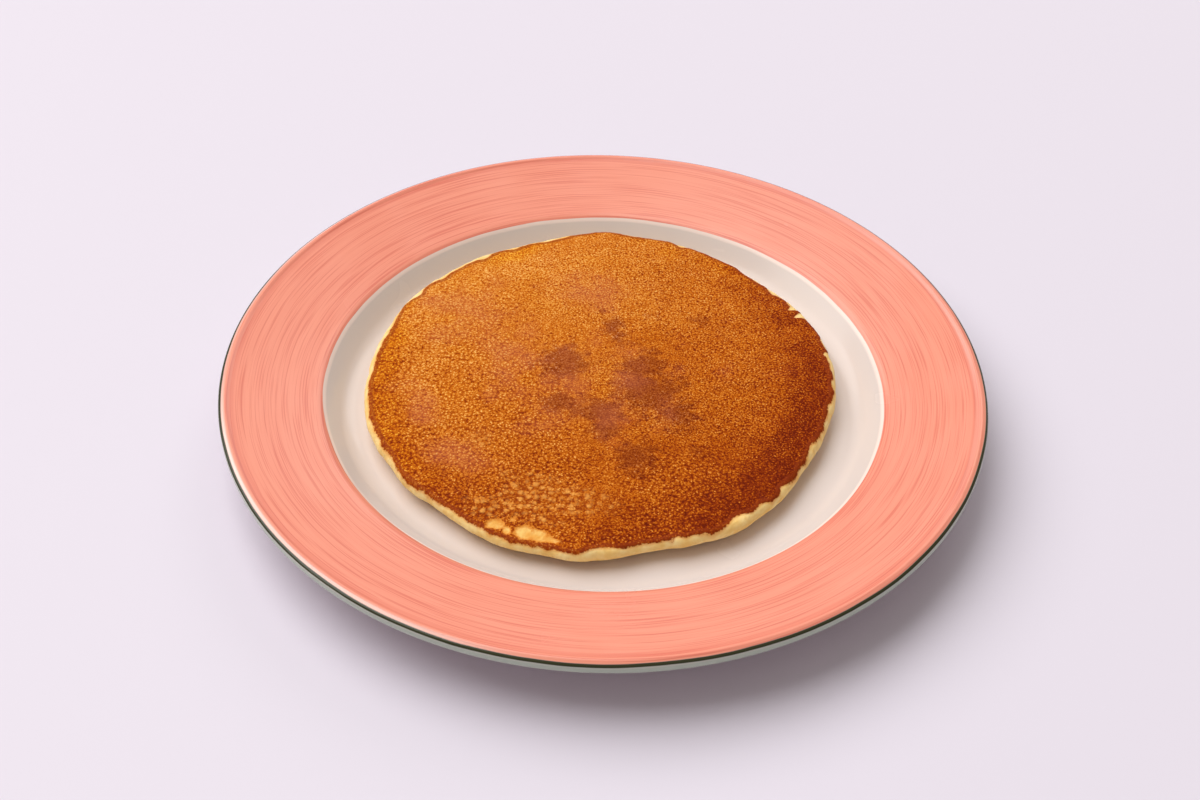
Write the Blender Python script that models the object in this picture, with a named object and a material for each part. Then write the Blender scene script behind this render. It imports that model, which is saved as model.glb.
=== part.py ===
"""One thick griddle pancake lying in the well of a banded, wide-rimmed dinner plate.

Metres, +Z up. The origin is the middle of the plate's foot, on the surface that it stands on.
"""

import math

import bmesh
import bpy

DIRECTIONS = 96  # steps round the plate and round the pancake

# The plate: heights are above the table, radii are from the plate's axis.
PLATE_RADIUS = 0.1355
FLOOR_THICKNESS = 0.0049
FLOOR_TOP = 0.0075
WELL_FOOT_RADIUS = 0.0913  # where the flat floor would meet the straight wall of the well
WELL_COVE = 0.0100  # radius of the hollow curve between floor and wall
RIM_INNER_RADIUS = 0.1004
RIM_INNER_HEIGHT = 0.0162
RIM_SHOULDER = 0.0060
LIP_WIDTH = 0.0040  # from where the rim turns up a little to its outer edge
LIP_RISE = 0.0007
CREST_HEIGHT = 0.0227  # of the lip's highest corner, before it is rounded
CREST_FROM_EDGE = 0.0025
CREST_ROUNDING = 0.0015
EDGE_TOP = 0.0215  # the lip falls to here at its outer edge
EDGE_BOTTOM = 0.0178
EDGE_TOP_ROUNDING = 0.0012
EDGE_BOTTOM_ROUNDING = 0.0024
RIM_THICKNESS = 0.0050
WELL_WALL_THICKNESS = 0.0041
UNDER_RIM_ROUNDING = 0.0080
UNDER_FLOOR_ROUNDING = 0.0040
FOOT_OUTER_RADIUS = 0.0862
FOOT_WIDTH = 0.0050
FOOT_DRAFT = 0.0010  # how much the foot narrows on each side towards the table
FOOT_CHAMFER = 0.0004

# The pancake: the outline is an ellipse with lobes where the batter ran further or less far.
PANCAKE_CENTRE = (-0.0010, 0.0040)
PANCAKE_HALF_WIDTH = 0.0842
PANCAKE_HALF_LENGTH = 0.0860
LOBES = (  # direction in degrees, how far the edge is moved out, half width in degrees
    (3, 0.0003, 8),
    (14, 0.0001, 13),
    (43, -0.0019, 13),
    (63, -0.0008, 7),
    (91, 0.0016, 9),
    (113, -0.0013, 11),
    (135, -0.0005, 12),
    (165, -0.0006, 11),
    (208, 0.0011, 18),
    (222, 0.0006, 5),
    (252, 0.0026, 11),
    (267, 0.0011, 6),
    (284, -0.0015, 7.5),
    (303, 0.0009, 6),
    (316, 0.0005, 6),
    (329, -0.0017, 13),
    (345, -0.0007, 9),
)
REST_GAP = 0.0003  # between the pancake and the plate's floor
MIDDLE_HEIGHT = 0.0095  # of the browned top above the underside's plane
EDGE_HEIGHT = 0.0078  # of the same top where it meets the side
TOP_ROUNDING = 0.0026  # how far in from the outline the side begins to turn down
UNDERCUT = 0.0065  # how far the underside draws in, as the griddled face spread the widest
EDGE_LIFT = 0.0014  # how far the underside curls up off the plate
LIFT_BEGINS = 0.78  # as a share of the underside's radius
WIDEST_AT = 0.62  # height of the widest line, as a share of the side's height
TOP_WAVES = (  # waves round the top, their height and their phase in degrees
    (2, 0.00030, 40),
    (3, 0.00022, 160),
    (5, 0.00015, 75),
)
EDGE_RISES = ((3, 0.0014, 24),)  # where the edge puffed up: direction, height, half width in degrees
TOP_RINGS = (0.16, 0.34, 0.52, 0.68, 0.81, 0.91)  # shares of the way out to the round side
SIDE_STEPS = 10
BOTTOM_RINGS = (0.92, 0.85, 0.50)  # shares of the underside's radius

SMOOTH_UP_TO = 40  # degrees between two faces that are still shaded as one
MERGE_DISTANCE = 1e-6


def clear_scene():
    """Removes what a new Blender file holds."""
    for thing in list(bpy.data.objects):
        bpy.data.objects.remove(thing)


def finish(name, colour, roughness):
    """A plain Principled material."""
    material = bpy.data.materials.new(name)
    material.use_nodes = True
    shader = material.node_tree.nodes["Principled BSDF"]
    shader.inputs["Base Color"].default_value = (*colour, 1)
    shader.inputs["Roughness"].default_value = roughness
    shader.inputs["Metallic"].default_value = 0
    return material


def fillet(before, corner, after, radius, steps):
    """The points of an arc of this radius that rounds off the corner between two straight runs."""
    to_before = (before[0] - corner[0], before[1] - corner[1])
    to_after = (after[0] - corner[0], after[1] - corner[1])
    angle_before = math.atan2(to_before[1], to_before[0])
    turn = math.atan2(to_after[1], to_after[0]) - angle_before
    turn = (turn + math.pi) % (2 * math.pi) - math.pi
    middle = angle_before + turn / 2
    reach = radius / math.sin(abs(turn) / 2)
    centre = (corner[0] + reach * math.cos(middle), corner[1] + reach * math.sin(middle))
    swept = math.copysign(math.pi - abs(turn), turn)
    points = []
    for step in range(steps + 1):
        angle = middle + math.pi + swept / 2 - swept * step / steps
        points.append((centre[0] + radius * math.cos(angle), centre[1] + radius * math.sin(angle)))
    return points


def plate_corners():
    """The half section's corners, as (radius, height, rounding, steps), from the floor's middle outwards."""
    wall_run = RIM_INNER_RADIUS - WELL_FOOT_RADIUS
    wall_rise = RIM_INNER_HEIGHT - FLOOR_TOP
    wall_length = math.hypot(wall_run, wall_rise)
    out = WELL_WALL_THICKNESS * wall_rise / wall_length
    down = WELL_WALL_THICKNESS * wall_run / wall_length
    under_floor = FLOOR_TOP - FLOOR_THICKNESS
    slope = wall_run / wall_rise
    rim_under = RIM_INNER_HEIGHT - RIM_THICKNESS
    shoulder_radius = RIM_INNER_RADIUS + out + slope * (rim_under - RIM_INNER_HEIGHT + down)
    heel_radius = WELL_FOOT_RADIUS + out + slope * (under_floor - FLOOR_TOP + down)
    foot_inner = FOOT_OUTER_RADIUS - FOOT_WIDTH
    return (
        (0, FLOOR_TOP, 0, 0),
        (WELL_FOOT_RADIUS, FLOOR_TOP, WELL_COVE, 5),
        (RIM_INNER_RADIUS, RIM_INNER_HEIGHT, RIM_SHOULDER, 2),
        (PLATE_RADIUS - LIP_WIDTH, CREST_HEIGHT - LIP_RISE, CREST_ROUNDING, 1),
        (PLATE_RADIUS - CREST_FROM_EDGE, CREST_HEIGHT, CREST_ROUNDING, 2),
        (PLATE_RADIUS, EDGE_TOP, EDGE_TOP_ROUNDING, 3),
        (PLATE_RADIUS, EDGE_BOTTOM, EDGE_BOTTOM_ROUNDING, 3),
        (shoulder_radius, rim_under, UNDER_RIM_ROUNDING, 2),
        (heel_radius, under_floor, UNDER_FLOOR_ROUNDING, 2),
        (FOOT_OUTER_RADIUS, under_floor, 0, 0),
        (FOOT_OUTER_RADIUS - FOOT_DRAFT + FOOT_CHAMFER, FOOT_CHAMFER, 0, 0),
        (FOOT_OUTER_RADIUS - FOOT_DRAFT, 0, 0, 0),
        (foot_inner + FOOT_DRAFT, 0, 0, 0),
        (foot_inner + FOOT_DRAFT - FOOT_CHAMFER, FOOT_CHAMFER, 0, 0),
        (foot_inner, under_floor, 0, 0),
        (0, under_floor, 0, 0),
    )


def plate_profile():
    """The plate's half section as points, with its rounded corners drawn."""
    corners = plate_corners()
    points = []
    for index, (radius, height, rounding, steps) in enumerate(corners):
        if rounding:
            points += fillet(corners[index - 1], (radius, height), corners[index + 1], rounding, steps)
        else:
            points.append((radius, height))
    return points


def make_plate():
    """Turns the half section once round the plate's axis."""
    shape = bmesh.new()
    section = [shape.verts.new((radius, 0, height)) for radius, height in plate_profile()]
    runs = [shape.edges.new(pair) for pair in zip(section, section[1:])]
    bmesh.ops.spin(
        shape,
        geom=section + runs,
        cent=(0, 0, 0),
        axis=(0, 0, 1),
        angle=2 * math.pi,
        steps=DIRECTIONS,
        use_merge=True,
    )
    bmesh.ops.remove_doubles(shape, verts=shape.verts, dist=MERGE_DISTANCE)
    bmesh.ops.recalc_face_normals(shape, faces=shape.faces)
    return add_object("plate", shape, finish("glazed_stoneware", (0.88, 0.36, 0.26), 0.18))


def lobes_at(angle, lobes):
    """The sum of the lobes' bell curves in this direction."""
    total = 0.0
    for direction, moved, half_width in lobes:
        off = (math.degrees(angle) - direction + 180) % 360 - 180
        total += moved * math.exp(-((off / half_width) ** 2))
    return total


def pancake_outline(angle):
    """How far the pancake's edge lies from its middle in this direction, in radians."""
    across = PANCAKE_HALF_LENGTH * math.cos(angle)
    along = PANCAKE_HALF_WIDTH * math.sin(angle)
    return PANCAKE_HALF_WIDTH * PANCAKE_HALF_LENGTH / math.hypot(across, along) + lobes_at(angle, LOBES)


def edge_lift(share):
    """How far the underside is off the plate, for a share of the way out to where the side begins."""
    past = max(0.0, (share - LIFT_BEGINS) / (1 - LIFT_BEGINS))
    return EDGE_LIFT * past**2


def top_height(share, angle):
    """Height of the browned top above the underside's plane: a low dome with slow waves."""
    dome = EDGE_HEIGHT + (MIDDLE_HEIGHT - EDGE_HEIGHT) * (1 - share**2)
    waves = sum(
        height * math.sin(count * angle + math.radians(phase)) for count, height, phase in TOP_WAVES
    )
    return dome + (waves + lobes_at(angle, EDGE_RISES)) * share**2


def side_point(angle, tilt):
    """Radius and height on the side: a short quarter ellipse above the widest line, a long one below."""
    outline = pancake_outline(angle)
    top = top_height(1 - TOP_ROUNDING / outline, angle)
    widest = EDGE_LIFT + WIDEST_AT * (top - EDGE_LIFT)
    if tilt > 0:
        drawn_in, tall = TOP_ROUNDING, top - widest
    else:
        drawn_in, tall = UNDERCUT, widest - EDGE_LIFT
    return outline - drawn_in * (1 - math.cos(tilt)), widest + tall * math.sin(tilt)


def pancake_rings():
    """Rings of (direction, radius, height), from the middle of the top over the side to the bottom."""
    angles = [2 * math.pi * step / DIRECTIONS for step in range(DIRECTIONS)]
    rings = []
    for share in TOP_RINGS:
        ring = []
        for angle in angles:
            reach = share * (pancake_outline(angle) - TOP_ROUNDING)
            ring.append((angle, reach, top_height(reach / pancake_outline(angle), angle)))
        rings.append(ring)
    for step in range(SIDE_STEPS + 1):
        tilt = math.pi / 2 - math.pi * step / SIDE_STEPS
        rings.append([(angle, *side_point(angle, tilt)) for angle in angles])
    for share in BOTTOM_RINGS:
        ring = []
        for angle in angles:
            ring.append((angle, share * (pancake_outline(angle) - UNDERCUT), edge_lift(share)))
        rings.append(ring)
    return rings


def make_pancake():
    """Joins the rings into one closed skin, with a point at the middle of the top and of the bottom."""
    shape = bmesh.new()
    base = FLOOR_TOP + REST_GAP

    def vertex(reach, angle, height):
        x = PANCAKE_CENTRE[0] + reach * math.cos(angle)
        y = PANCAKE_CENTRE[1] + reach * math.sin(angle)
        return shape.verts.new((x, y, base + height))

    rings = [[vertex(reach, angle, height) for angle, reach, height in ring] for ring in pancake_rings()]
    for upper, lower in zip(rings, rings[1:]):
        for index in range(DIRECTIONS):
            following = (index + 1) % DIRECTIONS
            shape.faces.new((upper[index], lower[index], lower[following], upper[following]))
    for ring, height in ((rings[0], MIDDLE_HEIGHT), (rings[-1], 0)):
        tip = vertex(0, 0, height)
        for index in range(DIRECTIONS):
            shape.faces.new((tip, ring[index], ring[(index + 1) % DIRECTIONS]))
    bmesh.ops.recalc_face_normals(shape, faces=shape.faces)
    return add_object("pancake", shape, finish("browned_batter", (0.57, 0.17, 0.025), 0.55))


def add_object(name, shape, material):
    """Puts a finished shape into the scene, shaded smooth away from its sharp edges."""
    mesh = bpy.data.meshes.new(name)
    shape.to_mesh(mesh)
    shape.free()
    mesh.materials.append(material)
    mesh.shade_smooth()
    mesh.set_sharp_from_angle(angle=math.radians(SMOOTH_UP_TO))
    thing = bpy.data.objects.new(name, mesh)
    bpy.context.scene.collection.objects.link(thing)
    return thing


clear_scene()
make_plate()
make_pancake()
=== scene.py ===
# %% [markdown]
# # A griddle pancake on a banded plate
#
# This script dresses two plain solids: a dinner plate turned from one section, and a thick pancake that
# lies in its well. The solids give the sizes. Here both get a fine surface, worked out as arrays, and
# finishes made of nodes: a glossy glaze with a brushed pink band, and a browned crust over pale dough.
#
# Lengths are in metres. Values that are easier to read in millimetres are written as a number times MM.

# %% Load the solids
import math

import bpy
import numpy as np
from mathutils import Matrix, Vector


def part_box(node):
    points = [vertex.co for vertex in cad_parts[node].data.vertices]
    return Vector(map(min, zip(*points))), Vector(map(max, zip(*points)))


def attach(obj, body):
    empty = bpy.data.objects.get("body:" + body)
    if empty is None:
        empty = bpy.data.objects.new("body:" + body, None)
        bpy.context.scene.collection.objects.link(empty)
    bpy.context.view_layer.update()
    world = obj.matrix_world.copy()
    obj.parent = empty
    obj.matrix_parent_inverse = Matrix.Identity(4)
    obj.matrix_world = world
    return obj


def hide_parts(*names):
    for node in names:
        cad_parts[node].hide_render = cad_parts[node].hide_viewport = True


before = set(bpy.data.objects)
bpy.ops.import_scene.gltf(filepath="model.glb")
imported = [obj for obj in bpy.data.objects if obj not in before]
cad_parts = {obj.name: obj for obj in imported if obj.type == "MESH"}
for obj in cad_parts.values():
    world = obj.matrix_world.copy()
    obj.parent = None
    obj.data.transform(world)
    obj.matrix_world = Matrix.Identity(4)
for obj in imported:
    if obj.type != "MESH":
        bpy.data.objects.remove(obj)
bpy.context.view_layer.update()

MM = 0.001
plate_low, plate_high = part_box("plate")
pancake_low, pancake_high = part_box("pancake")
print("plate", [round(side / MM, 1) for side in plate_high - plate_low], "mm")
print("pancake", [round(side / MM, 1) for side in pancake_high - pancake_low], "mm")

# %% [markdown]
# ## The camera
#
# A plate is a good ruler: its round edges show as ellipses, and how flat they are gives the height of the
# eye. Here the eye is 65 cm away and 42 degrees above the table, as for someone who sits down to eat. The
# camera is turned a little about its own axis, as a hand-held one is.

# %% Camera
EYE = Vector((0.0, -0.4831, 0.4422))
LOOKS_AT = Vector((-0.0012, 0.0084, 0.0))
ROLL = math.radians(1.54)
LENS = 54.0  # millimetres, on a film 36 mm wide


def aim(thing, place, target, roll=0.0):
    """Puts a camera or light at a place, turns it to a target and rolls it about its own axis."""
    turn = (target - place).to_track_quat("-Z", "Y").to_matrix().to_4x4()
    thing.matrix_world = Matrix.Translation(place) @ turn @ Matrix.Rotation(roll, 4, "Z")


camera = bpy.data.objects.new("camera", bpy.data.cameras.new("camera"))
bpy.context.scene.collection.objects.link(camera)
camera.data.lens = LENS
aim(camera, EYE, LOOKS_AT, ROLL)
bpy.context.scene.camera = camera
print("eye", round((EYE - LOOKS_AT).length, 3), "m from the plate's middle")

# %% [markdown]
# ## Table and light
#
# The light comes from the left and a little from behind, through something very wide and soft such as a
# tall window. It leaves a shadow on the right and near sides of the pancake. A wide round lamp does this,
# far off, so that both sides of the plate are lit alike. A second, weak one at the back only shows as a
# pale sheen on the near glaze. The rest is a dim warm sky, brightest overhead, so the rim has a dark
# shadow close under it. The table is a plain pale sheet, which isn't part of the object. Colours are
# shown as they are, because a film-like view would wash out the orange crust.

# %% Table and light
LAMP_DISTANCE = 8.0
WINDOW_FROM = Vector((-0.48, 0.30, 0.82))  # the direction towards the window
WINDOW_ACROSS = 9.4
WINDOW_POWER = 710.0
BACK_FROM = Vector((0.26, 0.79, 0.56))
BACK_ACROSS = 4.0
BACK_POWER = 72.0
LAMP_COLOUR = (1.0, 0.985, 0.97)
SKY_COLOUR = (1.0, 0.93, 0.84, 1.0)
SKY_AT_HORIZON = 0.24
SKY_OVERHEAD = 0.42
TABLE_SHADE = (226, 220, 234)  # as it looks on a screen
TABLE_ROUGHNESS = 0.6
TABLE_HALF = 2.5
TABLE_LEVEL = -0.1 * MM


def shade(red, green, blue):
    """A colour given as it looks on a screen, 0 to 255, as the linear values that shaders use."""
    shown = np.array([red, green, blue]) / 255
    linear = np.where(shown <= 0.04045, shown / 12.92, ((shown + 0.055) / 1.055) ** 2.4)
    return (*(float(value) for value in linear), 1.0)


def add_lamp(name, direction, across, power):
    """A round lamp that looks at the plate from this direction."""
    lamp = bpy.data.lights.new(name, "AREA")
    lamp.shape = "DISK"
    lamp.size = across
    lamp.energy = power
    lamp.color = LAMP_COLOUR
    thing = bpy.data.objects.new(name, lamp)
    bpy.context.scene.collection.objects.link(thing)
    aim(thing, direction.normalized() * LAMP_DISTANCE, Vector())


def light_room():
    """A sky whose strength rises from the horizon to overhead."""
    room = bpy.data.worlds.new("room")
    room.use_nodes = True
    nodes, links = room.node_tree.nodes, room.node_tree.links
    sky = nodes["Background"]
    sky.inputs["Color"].default_value = SKY_COLOUR
    direction = nodes.new("ShaderNodeTexCoord").outputs["Generated"]
    height = nodes.new("ShaderNodeSeparateXYZ")
    links.new(direction, height.inputs[0])
    strength = nodes.new("ShaderNodeMapRange")
    strength.inputs["To Min"].default_value = SKY_AT_HORIZON
    strength.inputs["To Max"].default_value = SKY_OVERHEAD
    links.new(height.outputs["Z"], strength.inputs["Value"])
    links.new(strength.outputs[0], sky.inputs["Strength"])
    bpy.context.scene.world = room


def lay_table():
    """A flat square sheet under the plate."""
    square = ((-1, -1), (1, -1), (1, 1), (-1, 1))
    places = [(x * TABLE_HALF, y * TABLE_HALF, TABLE_LEVEL) for x, y in square]
    sheet = bpy.data.meshes.new("table")
    sheet.from_pydata(places, [], [(0, 1, 2, 3)])
    paint = bpy.data.materials.new("pale_table")
    paint.use_nodes = True
    shader = paint.node_tree.nodes["Principled BSDF"]
    shader.inputs["Base Color"].default_value = shade(*TABLE_SHADE)
    shader.inputs["Roughness"].default_value = TABLE_ROUGHNESS
    sheet.materials.append(paint)
    table = bpy.data.objects.new("table", sheet)
    bpy.context.scene.collection.objects.link(table)


add_lamp("window", WINDOW_FROM, WINDOW_ACROSS, WINDOW_POWER)
add_lamp("back_light", BACK_FROM, BACK_ACROSS, BACK_POWER)
light_room()
lay_table()
bpy.context.scene.view_settings.view_transform = "Standard"
bpy.context.scene.view_settings.look = "None"

# %% [markdown]
# ## From arrays to a mesh
#
# Every piece below is a set of points worked out as whole arrays. One helper turns points and faces into
# an object, and writes extra numbers beside each point, which the shaders read back by name.

# %% Points and faces to an object


def add_piece(name, points, faces, marks):
    """A smooth-shaded mesh object. marks holds one named number for each point."""
    mesh = bpy.data.meshes.new(name)
    mesh.vertices.add(len(points))
    mesh.vertices.foreach_set("co", points.astype(np.float32).ravel())
    sizes = np.array([len(face) for face in faces])
    mesh.loops.add(int(sizes.sum()))
    mesh.loops.foreach_set("vertex_index", np.concatenate(faces).astype(np.int32))
    mesh.polygons.add(len(faces))
    mesh.polygons.foreach_set("loop_start", (np.cumsum(sizes) - sizes).astype(np.int32))
    mesh.update(calc_edges=True)
    mesh.validate()
    mesh.shade_smooth()
    for mark, values in marks.items():
        mesh.attributes.new(mark, "FLOAT", "POINT").data.foreach_set("value", values.astype(np.float32))
    piece = bpy.data.objects.new(name, mesh)
    bpy.context.scene.collection.objects.link(piece)
    print(name, len(points), "points,", int((sizes - 2).sum()), "triangles")
    return piece


def band_of_faces(upper, lower):
    """Four-sided faces between two closed rings of point numbers that run the same way round."""
    return np.stack([upper, lower, np.roll(lower, -1), np.roll(upper, -1)], axis=1)


def cap_of_faces(tip, ring):
    """Three-sided faces from one point to a closed ring."""
    return np.stack([np.full(len(ring), tip), ring, np.roll(ring, -1)], axis=1)


# %% [markdown]
# ## Chance, kept under control
#
# Batter runs unevenly and crust is mottled, so some numbers have to look random and still come out the
# same each time. Two functions of a place in space are enough. One is a smooth drift: random values on a
# cubic lattice, blended between neighbours. The other scatters one point in each cell of a lattice and
# measures the distance to the nearest, which gives pores.

# %% Drift and bubbles
LATTICE = 32  # cells before a random lattice repeats


def drift(points, size, seed):
    """Smooth random numbers from -1 to 1.

    Each corner of a cubic lattice of this cell size holds a random number. A point blends the eight
    corners round it, with weights 3t^2 - 2t^3 of its place t in the cell.
    """
    lattice = np.random.default_rng(seed).uniform(-1, 1, (LATTICE, LATTICE, LATTICE))
    place = points / size + LATTICE / 2
    cell = np.floor(place).astype(int)
    weight = place - cell
    weight = weight * weight * (3 - 2 * weight)
    total = np.zeros(len(points))
    for corner in np.ndindex(2, 2, 2):
        at = (cell + corner) % LATTICE
        share = np.where(corner, weight, 1 - weight).prod(axis=1)
        total += share * lattice[at[:, 0], at[:, 1], at[:, 2]]
    return total


def layered(points, layers):
    """A sum of drifts. Each is listed as its strength, its size and its seed."""
    return sum(strength * drift(points, size, seed) for strength, size, seed in layers)


def bubbles(points, size, seed):
    """The distance to the nearest of many scattered points, one in each cell, measured in cells.

    It is 0 at a bubble's middle and about 0.6 between bubbles. Each cell draws four numbers. The first
    three place its point, and the fourth is spare.
    """
    chance = np.random.default_rng(seed).uniform(0, 1, (LATTICE, LATTICE, LATTICE, 4))[..., :3]
    place = points / size + LATTICE / 2
    cell = np.floor(place).astype(int)
    nearest = np.full(len(points), np.inf)
    for step in np.ndindex(3, 3, 3):
        neighbour = cell + np.array(step) - 1
        centre = neighbour + chance[tuple((neighbour % LATTICE).T)]
        nearest = np.minimum(nearest, np.linalg.norm(centre - place, axis=1))
    return nearest


def ease(low, high, value):
    """0 below low, 1 above high, and a smooth 3t^2 - 2t^3 between."""
    share = np.clip((value - low) / (high - low), 0, 1)
    return share * share * (3 - 2 * share)


# %% [markdown]
# ## The plate's section
#
# A plate like this is shaped on a turning mould, so one half section says everything. It is listed as
# corners, from the middle of the floor, out over the rim, and back under to the middle again. Each corner
# is rounded by its own radius, which keeps the list short.

# %% Corners of the section
PLATE_RADIUS = plate_high.x
FLOOR_TOP = 7.5 * MM
FLOOR_THICKNESS = 4.9 * MM
WELL_FOOT_RADIUS = 91.3 * MM
WELL_COVE = 10.0 * MM
RIM_INNER_RADIUS = 100.4 * MM
RIM_INNER_HEIGHT = 16.2 * MM
RIM_SHOULDER = 6.0 * MM
LIP_WIDTH = 4.0 * MM
LIP_RISE = 0.7 * MM
CREST_HEIGHT = 22.7 * MM
CREST_FROM_EDGE = 2.5 * MM
CREST_ROUNDING = 1.5 * MM
EDGE_TOP = 21.5 * MM
EDGE_BOTTOM = 17.8 * MM
EDGE_TOP_ROUNDING = 1.2 * MM
EDGE_BOTTOM_ROUNDING = 2.4 * MM
RIM_THICKNESS = 5.0 * MM
WELL_WALL_THICKNESS = 4.1 * MM
UNDER_RIM_ROUNDING = 8.0 * MM
UNDER_FLOOR_ROUNDING = 4.0 * MM
FOOT_OUTER_RADIUS = 86.2 * MM
FOOT_WIDTH = 5.0 * MM
FOOT_DRAFT = 1.0 * MM
FOOT_ROUNDING = 0.8 * MM


def plate_corners():
    """The half section's corners, as (radius, height, rounding), from the floor's middle outwards."""
    wall_run = RIM_INNER_RADIUS - WELL_FOOT_RADIUS
    wall_rise = RIM_INNER_HEIGHT - FLOOR_TOP
    wall_length = math.hypot(wall_run, wall_rise)
    out = WELL_WALL_THICKNESS * wall_rise / wall_length
    down = WELL_WALL_THICKNESS * wall_run / wall_length
    under_floor = FLOOR_TOP - FLOOR_THICKNESS
    under_rim = RIM_INNER_HEIGHT - RIM_THICKNESS
    slope = wall_run / wall_rise
    return (
        (0, FLOOR_TOP, 0),
        (WELL_FOOT_RADIUS, FLOOR_TOP, WELL_COVE),
        (RIM_INNER_RADIUS, RIM_INNER_HEIGHT, RIM_SHOULDER),
        (PLATE_RADIUS - LIP_WIDTH, CREST_HEIGHT - LIP_RISE, CREST_ROUNDING),
        (PLATE_RADIUS - CREST_FROM_EDGE, CREST_HEIGHT, CREST_ROUNDING),
        (PLATE_RADIUS, EDGE_TOP, EDGE_TOP_ROUNDING),
        (PLATE_RADIUS, EDGE_BOTTOM, EDGE_BOTTOM_ROUNDING),
        (RIM_INNER_RADIUS + out + slope * (down - RIM_THICKNESS), under_rim, UNDER_RIM_ROUNDING),
        (WELL_FOOT_RADIUS + out + slope * (down - FLOOR_THICKNESS), under_floor, UNDER_FLOOR_ROUNDING),
        (FOOT_OUTER_RADIUS, under_floor, 0),
        (FOOT_OUTER_RADIUS - FOOT_DRAFT, 0, FOOT_ROUNDING),
        (FOOT_OUTER_RADIUS - FOOT_WIDTH + FOOT_DRAFT, 0, FOOT_ROUNDING),
        (FOOT_OUTER_RADIUS - FOOT_WIDTH, under_floor, 0),
        (0, under_floor, 0),
    )


corners = np.array(plate_corners())
print("section with", len(corners), "corners, the highest", round(corners[:, 1].max() / MM, 1), "mm up")

# %% [markdown]
# A rounded corner is an arc that touches both straight runs. Its middle lies on the line that halves the
# angle, at rounding / sin(half the angle) from the corner. The finished section keeps every point of the
# arcs, and the straight runs between them get a point every few millimetres.

# %% Rounded section
STEP_ALONG = 2.5 * MM  # on straight runs
ARC_STEP = math.radians(5)


def rounded(before, corner, after, radius):
    """Points of the arc of this radius that touches both runs which meet at the corner."""
    to_before = (before - corner) / np.linalg.norm(before - corner)
    to_after = (after - corner) / np.linalg.norm(after - corner)
    halving = (to_before + to_after) / np.linalg.norm(to_before + to_after)
    half = math.acos(float(to_before @ halving))
    middle = corner + halving * radius / math.sin(half)
    count = 2 + math.ceil((math.pi - 2 * half) / ARC_STEP)
    sweep = np.linspace(-1, 1, count) * (math.pi / 2 - half)
    across = np.array([-halving[1], halving[0]])
    if across @ to_after < 0:
        across = -across
    return middle + radius * (np.outer(np.sin(sweep), across) - np.outer(np.cos(sweep), halving))


def plate_section():
    """The whole half section as (radius, height), and the distance along it to each point."""
    places, roundings = corners[:, :2], corners[:, 2]
    runs = [places[:1]]
    for index in range(1, len(places) - 1):
        if roundings[index]:
            runs.append(rounded(*places[index - 1:index + 2], roundings[index]))
        else:
            runs.append(places[index:index + 1])
    runs.append(places[-1:])
    line = np.concatenate(runs)
    along = np.r_[0, np.cumsum(np.linalg.norm(np.diff(line, axis=0), axis=1))]
    even = np.arange(STEP_ALONG, along[-1], STEP_ALONG)
    clear = np.abs(even[:, None] - along).min(axis=1) > STEP_ALONG / 3
    kept = np.sort(np.r_[along, even[clear]])
    return np.c_[np.interp(kept, along, line[:, 0]), np.interp(kept, along, line[:, 1])], kept


section, section_along = plate_section()
print("section is", round(section_along[-1] / MM, 1), "mm long, with", len(section), "points")

# %% [markdown]
# ## Turning the plate
#
# Carrying the section once round the axis gives the surface: a point at angle a has x = r cos a and
# y = r sin a. The two ends of the section lie on the axis, so each is a single point with a fan of
# triangles. Every point keeps its distance along the section, because the painter's band and lines are
# easiest to place by that.

# %% Turned surface
PLATE_TURNS = 360


def turned_plate():
    """Points, faces and marks of the section carried round the axis, with its faces looking outwards."""
    turn = np.arange(PLATE_TURNS) * 2 * math.pi / PLATE_TURNS
    radius, height = section[1:-1].T
    x = np.outer(radius, np.cos(turn))
    y = np.outer(radius, np.sin(turn))
    z = np.repeat(height[:, None], PLATE_TURNS, axis=1)
    rings = np.stack([x, y, z], axis=2).reshape(-1, 3)
    tips = np.array([[0, 0, section[0, 1]], [0, 0, section[-1, 1]]])
    number = np.arange(len(rings)).reshape(len(radius), PLATE_TURNS)
    faces = [row for upper, lower in zip(number, number[1:]) for row in band_of_faces(upper, lower)]
    faces += list(cap_of_faces(len(rings), number[0]))
    faces += list(cap_of_faces(len(rings) + 1, number[-1][::-1]))
    along = np.r_[np.repeat(section_along[1:-1], PLATE_TURNS), section_along[[0, -1]]]
    return np.concatenate([rings, tips]), faces, {"along": along / MM}


plate = add_piece("plate_glazed", *turned_plate())

# %% [markdown]
# ## Writing finishes as steps
#
# A node tree is easier to read as a list of steps, each fed by numbers or by earlier steps. This small
# class adds the nodes. Places are read in object coordinates, so a pattern has a real size and stays put
# on its piece.

# %% A finish as steps


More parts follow.
